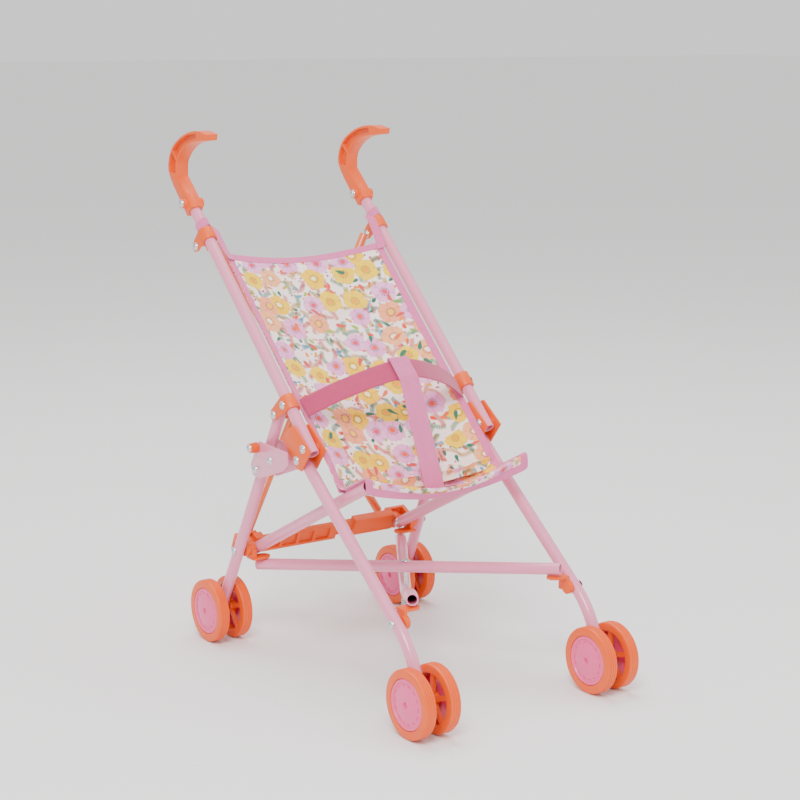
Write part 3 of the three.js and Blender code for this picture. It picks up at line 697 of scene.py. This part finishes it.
# ---- small hardware ------------------------------------------------------------------------------
# An orange peg with a bright tip locks each link, and a long bolt with a spring holds the two
# lower braces together where they cross.
PEG = [(0.0, 0.0), (0.0054, 0.0), (0.0058, 0.0006), (0.0052, 0.0094), (0.0046, 0.01), (0.0, 0.01)]
PEG_L = 0.01
PEG_AT = (0.1283, -0.005, 0.0255)  # x, and from the link's pivot

for hand, side in SIDES.items():
    link_at = pivot(f"{hand}_lock_link_turn")
    peg_at = Vector((side * PEG_AT[0], link_at.y + PEG_AT[1], link_at.z + PEG_AT[2]))
    peg = spun("peg", [(r, side * x) for r, x in PEG], peg_at, 36)
    piece = joined(f"{hand}_lock_peg", [harden(peg, 40)])
    settle(piece, f"{hand}_lock_link", "orange_plastic", orange_nylon)
    tip = rivet(peg_at + Vector((side * PEG_L, 0, 0)), side * ACROSS)
    tip.name = f"{hand}_lock_peg_tip"
    settle(tip, f"{hand}_lock_link", "steel", zinc)

SPRING_TURNS = 7
SPRING_R = 0.0042
SPRING_WIRE = 0.0007
SPRING_TOP = 0.0358  # below the crossing
SPRING_L = 0.0115
TURN_STEPS = 16
BOLT_R = 0.0018
BOLT_L = 0.056
NUT_R = 0.0042
NUT_T = 0.003
crossing = Vector((0, -0.033323, 0.1058))
spring_line = bpy.data.curves.new("spring", "CURVE")
spring_line.dimensions = "3D"
spring_line.bevel_depth = SPRING_WIRE
spring_line.bevel_resolution = 2
spline = spring_line.splines.new("POLY")
points = SPRING_TURNS * TURN_STEPS
spline.points.add(points)
for i, spot in enumerate(spline.points):
    turn = 2 * math.pi * i / TURN_STEPS
    drop = SPRING_TOP + SPRING_L * i / points
    spot.co = (SPRING_R * math.cos(turn), crossing.y + SPRING_R * math.sin(turn), crossing.z - drop, 1)
spring = bpy.data.objects.new("crossing_spring", spring_line)
bpy.context.scene.collection.objects.link(spring)
only(spring)
bpy.ops.object.convert(target="MESH")
spring = bpy.context.object
bpy.ops.mesh.primitive_cylinder_add(vertices=24, radius=BOLT_R, depth=BOLT_L,
                                    location=crossing - Vector((0, 0, 0.0205)))
bolt = bpy.context.object
bpy.ops.mesh.primitive_cylinder_add(vertices=6, radius=NUT_R, depth=NUT_T,
                                    location=crossing - Vector((0, 0, 0.0475)))
nut = bpy.context.object
bevel(nut, 0.0003)
bolt_head = rivet(crossing + Vector((0, 0, 0.0066)), Vector((0, 0, 1)))
piece = joined("crossing_bolt_and_spring", [harden(spring), harden(bolt), harden(nut), bolt_head])
settle(piece, "left_lower_brace", "steel", zinc)

# ---- printed cloth -----------------------------------------------------------------------------------
# Plain-weave polyester printed with poppies, leaf sprigs and berries. The print is laid out on the
# flat cloth, in metres, so it runs over the crease and the rim as a printed length does.
BLOOM_PITCH = 0.03
BLOOM_R = 0.0148
LEAF_PITCH = 0.0105
BERRY_PITCH = 0.0047
SPRIG_PITCH = 0.021
WEAVE = 0.0007


def calc(tree, operation, *values):
    """A maths node; each value is a number or a socket."""
    return add(tree, "ShaderNodeMath", dict(enumerate(values)), operation=operation).outputs[0]


def painted(tree, ground, colour, mask):
    """The colour laid over the ground where the mask is 1."""
    return add(tree, "ShaderNodeMix", {0: mask, 6: ground, 7: colour}, data_type="RGBA").outputs[2]


def palette(tree, pick, *colours):
    """One of the colours, chosen by a random share from 0 to 1."""
    ramp = tree.nodes.new("ShaderNodeValToRGB")
    ramp.color_ramp.interpolation = "CONSTANT"
    for i, colour in enumerate(colours):
        if i < 2:
            stop = ramp.color_ramp.elements[i]
            stop.position = i / len(colours)
        else:
            stop = ramp.color_ramp.elements.new(i / len(colours))
        stop.color = linear(colour)
    tree.links.new(pick, ramp.inputs[0])
    return ramp.outputs["Color"]


def scattered(tree, flat, pitch, randomness, shift):
    """Random cells over the cloth: the place inside each cell, and three random shares of it."""
    offset = (shift, 0.37 * shift, 0)
    moved = add(tree, "ShaderNodeVectorMath", {0: flat, 1: offset}, operation="ADD").outputs[0]
    cells = add(tree, "ShaderNodeTexVoronoi", {"Vector": moved, "Scale": 1 / pitch, "Randomness": randomness},
                voronoi_dimensions="2D")
    inside = add(tree, "ShaderNodeVectorMath", {0: moved, 1: cells.outputs["Position"]}, operation="SUBTRACT")
    shares = add(tree, "ShaderNodeSeparateColor", {"Color": cells.outputs["Color"]})
    return inside.outputs[0], [shares.outputs[k] for k in range(3)]


def turned(tree, place, share):
    """The place turned by a random angle, as x and y."""
    angle = calc(tree, "MULTIPLY", share, 2 * math.pi)
    spun_place = add(tree, "ShaderNodeVectorRotate", {"Vector": place, "Angle": angle}, rotation_type="Z_AXIS")
    split = add(tree, "ShaderNodeSeparateXYZ", {0: spun_place.outputs[0]})
    return split.outputs[0], split.outputs[1]


def oval(tree, x, y, at, half_length, half_width, taper=0.0):
    """A mask of a leaf: an oval about a point on x, which narrows along its length."""
    along = calc(tree, "DIVIDE", calc(tree, "SUBTRACT", x, at), half_length)
    slim = calc(tree, "ADD", calc(tree, "MULTIPLY", along, -taper), 1.0)
    across = calc(tree, "DIVIDE", y, calc(tree, "MULTIPLY", slim, half_width))
    round_ = calc(tree, "ADD", calc(tree, "MULTIPLY", along, along), calc(tree, "MULTIPLY", across, across))
    return calc(tree, "LESS_THAN", round_, 1.0)


def blooms(tree, ground, flat, shift, share_kept):
    """Poppies with notched petals, fine veins, a pale centre and a ring of dark dashes."""
    place, (pick, kept, turn) = scattered(tree, flat, BLOOM_PITCH, 0.62, shift)
    x, y = turned(tree, place, turn)
    angle = calc(tree, "ARCTAN2", y, x)
    radius = calc(tree, "SQRT", calc(tree, "ADD", calc(tree, "MULTIPLY", x, x), calc(tree, "MULTIPLY", y, y)))
    size = calc(tree, "ADD", calc(tree, "MULTIPLY", turn, 0.003), BLOOM_R - 0.002)
    lobes = calc(tree, "MULTIPLY", calc(tree, "COSINE", calc(tree, "MULTIPLY", angle, 5)), 0.045)
    frill = calc(tree, "MULTIPLY", calc(tree, "COSINE", calc(tree, "MULTIPLY", angle, 14)), 0.045)
    edge = calc(tree, "MULTIPLY", size, calc(tree, "ADD", calc(tree, "ADD", lobes, frill), 0.93))
    share = calc(tree, "DIVIDE", radius, edge)
    shown = calc(tree, "LESS_THAN", kept, share_kept)
    bloom = calc(tree, "MULTIPLY", calc(tree, "LESS_THAN", share, 1.0), shown)
    petal = palette(tree, pick, "fccb10", "fcb27e", "f3a6d6", "fbd21c", "fba477", "f6b0dc")
    deep = palette(tree, pick, "ee9c08", "ee7f40", "de5ca6", "f0a812", "e9683c", "d963ac")
    heart = palette(tree, pick, "fff0b0", "fdf0d8", "ee4a2c", "f39a12", "fbc02c", "e2365c")
    dash = palette(tree, pick, "8a4a1c", "a5401f", "6d1638", "8a4a1c", "7d2b22", "6d1638")
    veins = calc(tree, "GREATER_THAN", calc(tree, "COSINE", calc(tree, "MULTIPLY", angle, 30)), 0.72)
    outer = calc(tree, "GREATER_THAN", share, 0.42)
    folds = calc(tree, "LESS_THAN", calc(tree, "COSINE", calc(tree, "MULTIPLY", angle, 5)), -0.9)
    lines = calc(tree, "MAXIMUM", calc(tree, "MULTIPLY", veins, 0.55), calc(tree, "MULTIPLY", folds, 0.6))
    veined = calc(tree, "MULTIPLY", lines, outer)
    ground = painted(tree, ground, petal, bloom)
    ground = painted(tree, ground, deep, calc(tree, "MULTIPLY", bloom, veined))
    centre = calc(tree, "MULTIPLY", calc(tree, "LESS_THAN", share, 0.24), shown)
    ground = painted(tree, ground, heart, centre)
    ring = calc(tree, "MULTIPLY", calc(tree, "GREATER_THAN", share, 0.26),
                calc(tree, "LESS_THAN", share, 0.42))
    ticks = calc(tree, "GREATER_THAN", calc(tree, "COSINE", calc(tree, "MULTIPLY", angle, 13)), 0.1)
    dots = calc(tree, "MULTIPLY", calc(tree, "MULTIPLY", ring, ticks), shown)
    return painted(tree, ground, dash, dots)


def leaves(tree, ground, flat, pitch, shift, share_kept, half_length, half_width, *colours):
    place, (pick, kept, turn) = scattered(tree, flat, pitch, 0.9, shift)
    x, y = turned(tree, place, turn)
    leaf = oval(tree, x, y, 0.0, half_length, half_width, 0.45)
    shown = calc(tree, "MULTIPLY", leaf, calc(tree, "LESS_THAN", kept, share_kept))
    return painted(tree, ground, palette(tree, pick, *colours), shown)


def sprigs(tree, ground, flat, shift):
    """Thin stems with pairs of small leaves along them."""
    place, (pick, kept, turn) = scattered(tree, flat, SPRIG_PITCH, 0.7, shift)
    x, y = turned(tree, place, turn)
    bend = calc(tree, "ADD", y, calc(tree, "MULTIPLY", calc(tree, "MULTIPLY", x, x), 30.0))
    stem = calc(tree, "MULTIPLY", calc(tree, "LESS_THAN", calc(tree, "ABSOLUTE", bend), 0.0003),
                calc(tree, "LESS_THAN", calc(tree, "ABSOLUTE", x), 0.0095))
    ground = painted(tree, ground, linear("3f6b4a"), stem)
    rung = calc(tree, "SUBTRACT", calc(tree, "PINGPONG", calc(tree, "ADD", x, 0.02), 0.00175), 0.0009)
    reach = calc(tree, "SUBTRACT", calc(tree, "ABSOLUTE", bend), 0.0017)
    pair = oval(tree, reach, rung, 0.0, 0.0016, 0.00062, 0.3)
    pair = calc(tree, "MULTIPLY", pair, calc(tree, "LESS_THAN", calc(tree, "ABSOLUTE", x), 0.0092))
    return painted(tree, ground, palette(tree, pick, "e5542b", "2f7a57", "c9922d", "d93c3c", "5b8f55"), pair)


def birds(tree, ground, flat, shift):
    """Small grey-blue birds: a body, a head, a wing and a tail, each a leaf shape."""
    place, (pick, kept, turn) = scattered(tree, flat, 0.052, 0.5, shift)
    x, y = turned(tree, place, calc(tree, "MULTIPLY", turn, 0.16))
    body = oval(tree, x, y, 0.0, 0.0056, 0.0029, 0.5)
    tail = oval(tree, x, y, 0.0072, 0.0042, 0.0012, -0.6)
    head = oval(tree, x, calc(tree, "SUBTRACT", y, 0.0022), -0.0044, 0.002, 0.002)
    whole = calc(tree, "MAXIMUM", calc(tree, "MAXIMUM", body, tail), head)
    ground = painted(tree, ground, linear("7fa2bd"), whole)
    wing = oval(tree, x, calc(tree, "ADD", y, 0.0004), 0.0012, 0.0034, 0.0014, 0.6)
    return painted(tree, ground, linear("56798f"), wing)


printed_cloth, tree, shader = new_material("printed_plain_weave", Roughness=0.88, Sheen_Weight=0.12,
                                           Sheen_Roughness=0.5)
flat = add(tree, "ShaderNodeUVMap", uv_map="flat").outputs[0]
soft = add(tree, "ShaderNodeTexNoise", {"Vector": flat, "Scale": 1 / 0.06, "Detail": 2}).outputs["Fac"]
ground = painted(tree, linear("fff6ec"), linear("fde3e2"), soft)
wobble = add(tree, "ShaderNodeTexNoise", {"Vector": flat, "Scale": 1 / 0.012, "Detail": 1})
pushed = add(tree, "ShaderNodeVectorMath", {0: wobble.outputs["Color"], 1: (0.5, 0.5, 0.5)},
             operation="SUBTRACT")
drift = add(tree, "ShaderNodeVectorMath", {0: pushed.outputs[0], "Scale": 0.0035}, operation="SCALE")
drawn = add(tree, "ShaderNodeVectorMath", {0: flat, 1: drift.outputs[0]}, operation="ADD").outputs[0]
ground = sprigs(tree, ground, drawn, 0.31)
ground = leaves(tree, ground, drawn, LEAF_PITCH, 0.77, 0.5, 0.0044, 0.002,
                "ee3f12", "f57a24", "1f6b52", "dd9f12", "ec5a1c", "9db22f", "5f93b4")
ground = leaves(tree, ground, drawn, BERRY_PITCH, 0.12, 0.15, 0.0013, 0.0013,
                "b52a6b", "c9397a", "8c1d4f")
ground = birds(tree, ground, drawn, 0.53)
ground = sprigs(tree, ground, drawn, 0.93)
ground = blooms(tree, ground, drawn, 0.0, 0.86)
ground = leaves(tree, ground, drawn, 0.024, 0.45, 0.3, 0.006, 0.0022, "d9463a", "2c6f55", "e8662e")
tree.links.new(ground, shader.inputs["Base Color"])
split = add(tree, "ShaderNodeSeparateXYZ", {0: flat})
warp = calc(tree, "SINE", calc(tree, "MULTIPLY", split.outputs[0], 2 * math.pi / WEAVE))
weft = calc(tree, "SINE", calc(tree, "MULTIPLY", split.outputs[1], 2 * math.pi / WEAVE))
threads = calc(tree, "MULTIPLY", warp, weft)
bump = add(tree, "ShaderNodeBump", {"Height": threads, "Strength": 0.25, "Distance": 0.0001})
tree.links.new(bump.outputs["Normal"], shader.inputs["Normal"])

# ---- pink webbing and binding ---------------------------------------------------------------------
# Herringbone cotton-look tape, a deep rose on the harness and paler on the bindings.
TWILL = 0.0011


def twill(name, colour, other):
    """Diagonal ribs across the tape, with painted shade in the grooves between them, and slight fading along
    it.
    """
    made, tree, shader = new_material(name, Roughness=0.85, Sheen_Weight=0.25, Sheen_Roughness=0.5)
    flat = add(tree, "ShaderNodeUVMap", uv_map="flat").outputs[0]
    split = add(tree, "ShaderNodeSeparateXYZ", {0: flat})
    slant = calc(tree, "ADD", split.outputs[0], split.outputs[1])
    rib = calc(tree, "SINE", calc(tree, "MULTIPLY", slant, 2 * math.pi / TWILL))
    rise = calc(tree, "ADD", calc(tree, "MULTIPLY", rib, 0.5), 0.5)
    fade = add(tree, "ShaderNodeTexNoise", {"Vector": flat, "Scale": 1 / 0.008, "Detail": 4}).outputs["Fac"]
    # Painted shade: the tape is darker in the grooves between the ribs and lighter on their tops. It is also
    # darker at random where it fades.
    tone = calc(tree, "ADD", calc(tree, "MULTIPLY", rise, 0.5), calc(tree, "MULTIPLY", fade, 0.5))
    tree.links.new(painted(tree, linear(other), linear(colour), tone), shader.inputs["Base Color"])
    bump = add(tree, "ShaderNodeBump", {"Height": rise, "Strength": 0.5, "Distance": 0.0003})
    tree.links.new(bump.outputs["Normal"], shader.inputs["Normal"])
    return made


rose_tape = twill("rose_twill_webbing", "cc3a6e", "a62253")
pale_tape = twill("pale_pink_twill_tape", "ea78ab", "d35a90")

# ---- seat cloth ----------------------------------------------------------------------------------------
# One length of cloth hung between the tubes: down the back, over the crease, along the side rails
# and folded down over the front edge. Its sides are held and it sags between them.
CLOTH_HALF = 0.1033
CLOTH_T = 0.0007
CLOTH_STEP = 0.004
HEM = 0.017
FLAT_TOP = 0.272  # the cloth's top edge, along the handle tube
DRAPE_FRAMES = 30
SAGS = [(0.0, 0.004), (0.14, 0.013), (0.29, 0.012), (0.36, 0.015), (0.43, 0.014), (0.5, 0.013)]
leg_slope = Vector((0, math.cos(LEG_SLOPE), math.sin(LEG_SLOPE)))
rail_front = pivot("left_front_leg_fold") + LEG_TOP + leg_slope * 0.0595
rail_front.x = 0
rail_rear = pivot("left_side_rail_turn")
rail_rear.x = 0
RAIL_RUN = (rail_front - rail_rear).normalized()
RAIL_UP = Vector((0, RAIL_RUN.z, -RAIL_RUN.y))


def on_rail(x, past, above=0.0):
    """A point beside a side rail: past the front leg, and above the rail's axis."""
    return rail_front + x * ACROSS + past * RAIL_RUN + above * RAIL_UP


rim = on_rail(0, 0.064, 0.008)
hanging = [on_handle(0, FLAT_TOP), on_handle(0, -0.028), on_rail(0, 0.008, 0.008), rim,
           rim - Vector((0, 0, HEM))]
for corner, reach in ((3, 0.005), (2, 0.014), (1, 0.022)):
    hanging = bent(hanging, corner, reach)
lengths = [0.0]
for before, after in zip(hanging, hanging[1:]):
    lengths.append(lengths[-1] + (after - before).length)
flat_length = lengths[-1]
flat_rim = flat_length - HEM


def sag_at(v):
    """How far the middle of the cloth hangs behind its sides."""
    for (v0, d0), (v1, d1) in zip(SAGS, SAGS[1:]):
        if v <= v1:
            t = (v - v0) / (v1 - v0)
            return d0 + (d1 - d0) * (3 * t * t - 2 * t * t * t)
    return SAGS[-1][1]


def hung(u, v):
    """Where a point of the flat cloth hangs."""
    k = max(i for i, d in enumerate(lengths[:-1]) if d <= v + 1e-9)
    run = (hanging[k + 1] - hanging[k]).normalized()
    up = Vector((0, run.z, -run.y)) if v < flat_rim - 0.006 else RAIL_UP
    slack = sag_at(v) * (1 - (u / CLOTH_HALF) ** 2) ** 0.8 if abs(u) < CLOTH_HALF else 0
    return hanging[k] + run * (v - lengths[k]) + u * ACROSS - up * slack


columns = round(2 * CLOTH_HALF / CLOTH_STEP)
rows = round(flat_length / CLOTH_STEP)
bpy.ops.mesh.primitive_grid_add(x_subdivisions=columns, y_subdivisions=rows, size=2)
cloth = bpy.context.object
cloth.name = "whole_cloth"
cloth.data.uv_layers[0].name = "flat"
flat_map = cloth.data.uv_layers["flat"].data
for corner in cloth.data.loops:
    spot = cloth.data.vertices[corner.vertex_index].co
    flat_map[corner.index].uv = (spot.x * CLOTH_HALF, (1 - spot.y) / 2 * flat_length)
held = cloth.vertex_groups.new(name="held")
for vertex in cloth.data.vertices:
    u, v = vertex.co.x * CLOTH_HALF, (1 - vertex.co.y) / 2 * flat_length
    if abs(u) > CLOTH_HALF - 0.5 * CLOTH_STEP:
        held.add([vertex.index], 1.0, "REPLACE")
    vertex.co = hung(u, v)
only(cloth)
drape = cloth.modifiers.new("drape", "CLOTH")
drape.settings.vertex_group_mass = "held"
drape.settings.quality = 8
drape.settings.mass = 0.12
drape.settings.tension_stiffness = 40
drape.settings.compression_stiffness = 20
drape.settings.shear_stiffness = 8
drape.settings.bending_stiffness = 0.4
drape.settings.shrink_min = -0.012
drape.point_cache.frame_start = 1
drape.point_cache.frame_end = DRAPE_FRAMES
for moment in range(1, DRAPE_FRAMES + 1):
    bpy.context.scene.frame_set(moment)
bpy.ops.object.convert(target="MESH")
cloth = bpy.context.object
bpy.context.scene.frame_set(1)
smooth = cloth.modifiers.new("smooth", "SUBSURF")
smooth.levels = 1
smooth.render_levels = 1
apply_modifiers(cloth)

# The frame folds under the cloth, so it is cut in three, each riding the part that carries it.
BACK_END = 0.268
CREASE_END = flat_rim - 0.062
BINDING = 0.0082
BINDING_T = 0.0019


def cut_from_cloth(name, keep, thickness):
    """A thick copy of the part of the cloth whose faces pass a test of their flat places."""
    only(cloth)
    bpy.ops.object.duplicate()
    piece = bpy.context.object
    piece.name = name
    bpy.ops.object.mode_set(mode="EDIT")
    bpy.ops.mesh.select_mode(type="FACE")
    bpy.ops.mesh.select_all(action="DESELECT")
    bpy.ops.object.mode_set(mode="OBJECT")
    flat_map = piece.data.uv_layers["flat"].data
    for face in piece.data.polygons:
        places = [flat_map[k].uv for k in face.loop_indices]
        middle = sum((Vector(p) for p in places), Vector((0, 0))) / len(places)
        face.select = not keep(middle.x, middle.y)
    bpy.ops.object.mode_set(mode="EDIT")
    bpy.ops.mesh.delete(type="FACE")
    bpy.ops.object.mode_set(mode="OBJECT")
    thick = piece.modifiers.new("thickness", "SOLIDIFY")
    thick.thickness = thickness
    thick.offset = 0
    apply_modifiers(piece)
    piece.vertex_groups.clear()
    piece.data.name = name
    return harden(piece, 60)


PANELS = {
    "back": ("left_side", lambda v: v < BACK_END, 0.0, BACK_END),
    "crease": ("left_front_leg", lambda v: BACK_END <= v < CREASE_END, BACK_END, CREASE_END),
    "base": ("left_side_rail", lambda v: v >= CREASE_END, CREASE_END, flat_length),
}
for panel, (body, within, start, end) in PANELS.items():
    piece = cut_from_cloth(f"{panel}_cloth", lambda u, v: within(v), CLOTH_T)
    settle(piece, body, "printed_cloth", printed_cloth, *(["seat_cloth"] if panel == "back" else []))
    edge = cut_from_cloth(
        f"{panel}_binding", lambda u, v: within(v) and (
            abs(u) > CLOTH_HALF - BINDING or v < BINDING or v > flat_length - BINDING), BINDING_T)
    settle(edge, body, "webbing", pale_tape)
    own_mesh(piece)
    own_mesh(edge)

# ---- harness ------------------------------------------------------------------------------------------
# A waist strap bowed across the seat between the two handle tubes, and a crotch strap that is looped
# over it, stitched, and sewn to the front edge of the seat.
STRAP_W = 0.024
STRAP_T = 0.0016
STRAP_AT = 0.056
STRAP_RISE = 0.054
CROTCH_T = 0.0014
STRAP_GAP = 0.0022  # between the middles of the two layers that hold the waist strap

end_x = CLOTH_HALF - 0.002
bow = smooth_line([on_handle(-end_x, STRAP_AT, 0.003), on_handle(-0.6 * end_x, STRAP_AT, 0.031),
                   on_handle(0, STRAP_AT, STRAP_RISE), on_handle(0.55 * end_x, STRAP_AT, 0.036),
                   on_handle(end_x, STRAP_AT, 0.003)], 14)
piece = ribbon("waist_webbing", bow, lambda t: (ALONG + 0.25 * (t - 0.5) * ABOVE).normalized(), STRAP_W,
               STRAP_T)
settle(piece, "left_side", "webbing", rose_tape, "waist_strap")
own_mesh(piece)


def cloth_spot(u, v):
    """The place on the hung cloth nearest to a point of the flat cloth."""
    flat_map = cloth.data.uv_layers["flat"].data
    best = min(cloth.data.loops, key=lambda corner: (flat_map[corner.index].uv - Vector((u, v))).length)
    return cloth.data.vertices[best.vertex_index].co.copy()


half = STRAP_W / 2 + STRAP_T
near = STRAP_RISE + STRAP_GAP
far = STRAP_RISE - STRAP_GAP
seat_front = cloth_spot(0, flat_rim - 0.004) + STRAP_GAP * RAIL_UP
seat_near = cloth_spot(0, flat_rim - 0.03) + 0.004 * RAIL_UP
looped = [on_handle(0, STRAP_AT + along, above) for along, above in (
    (-half * 0.9, far - 0.001), (0, far), (half * 0.9, far), (half + 0.001, STRAP_RISE),
    (half * 0.9, near), (0, near), (-half, near), (-half - 0.012, near - 0.004))]
looped = smooth_line(looped + [seat_near + 0.012 * RAIL_UP, seat_near, seat_front], 6)
piece = ribbon("crotch_webbing", looped, lambda t: ACROSS, STRAP_W, CROTCH_T)
settle(piece, "harness", "webbing", pale_tape, "crotch_strap")
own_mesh(piece)

# ---- corner loops -----------------------------------------------------------------------------------------
# A short loop of tape holds each top corner of the cloth to its handle tube.
LOOP_AT = 0.3135
LOOP_W = 0.011
LOOP_T = 0.0011
LOOP_R = TUBE_R + 0.0013
LOOP_LEAN = 0.003
LOOP_STEPS = 32

for hand, side in SIDES.items():
    centre = on_handle(side * HALF_TRACK, LOOP_AT)
    ring = []
    for i in range(LOOP_STEPS + 1):
        turn = 2 * math.pi * i / LOOP_STEPS
        ring.append(centre + LOOP_R * (math.cos(turn) * ACROSS + math.sin(turn) * ABOVE)
                    + LOOP_LEAN * math.cos(turn) * ALONG)
    loop = ribbon(f"{hand}_loop", ring, lambda t: ALONG, LOOP_W, LOOP_T)
    x = side * HALF_TRACK
    tail = smooth_line([centre + 0.001 * ABOVE - side * (TUBE_R + 0.0009) * ACROSS,
                        on_handle(x - side * 0.0098, 0.303, 0.0045),
                        on_handle(x - side * 0.0106, 0.289, 0.0035),
                        on_handle(side * (CLOTH_HALF - 0.001), 0.275, 0.002),
                        on_handle(side * (CLOTH_HALF - 0.004), 0.262, 0.0016)], 6)
    tongue = ribbon(f"{hand}_tongue", tail, lambda t: (0.4 * ABOVE + 0.9 * side * ACROSS).normalized(),
                    LOOP_W * 0.9, LOOP_T)
    piece = joined(f"{hand}_corner_loop", [loop, tongue])
    settle(piece, f"{hand}_side", "webbing", pale_tape)

bpy.data.objects.remove(cloth)
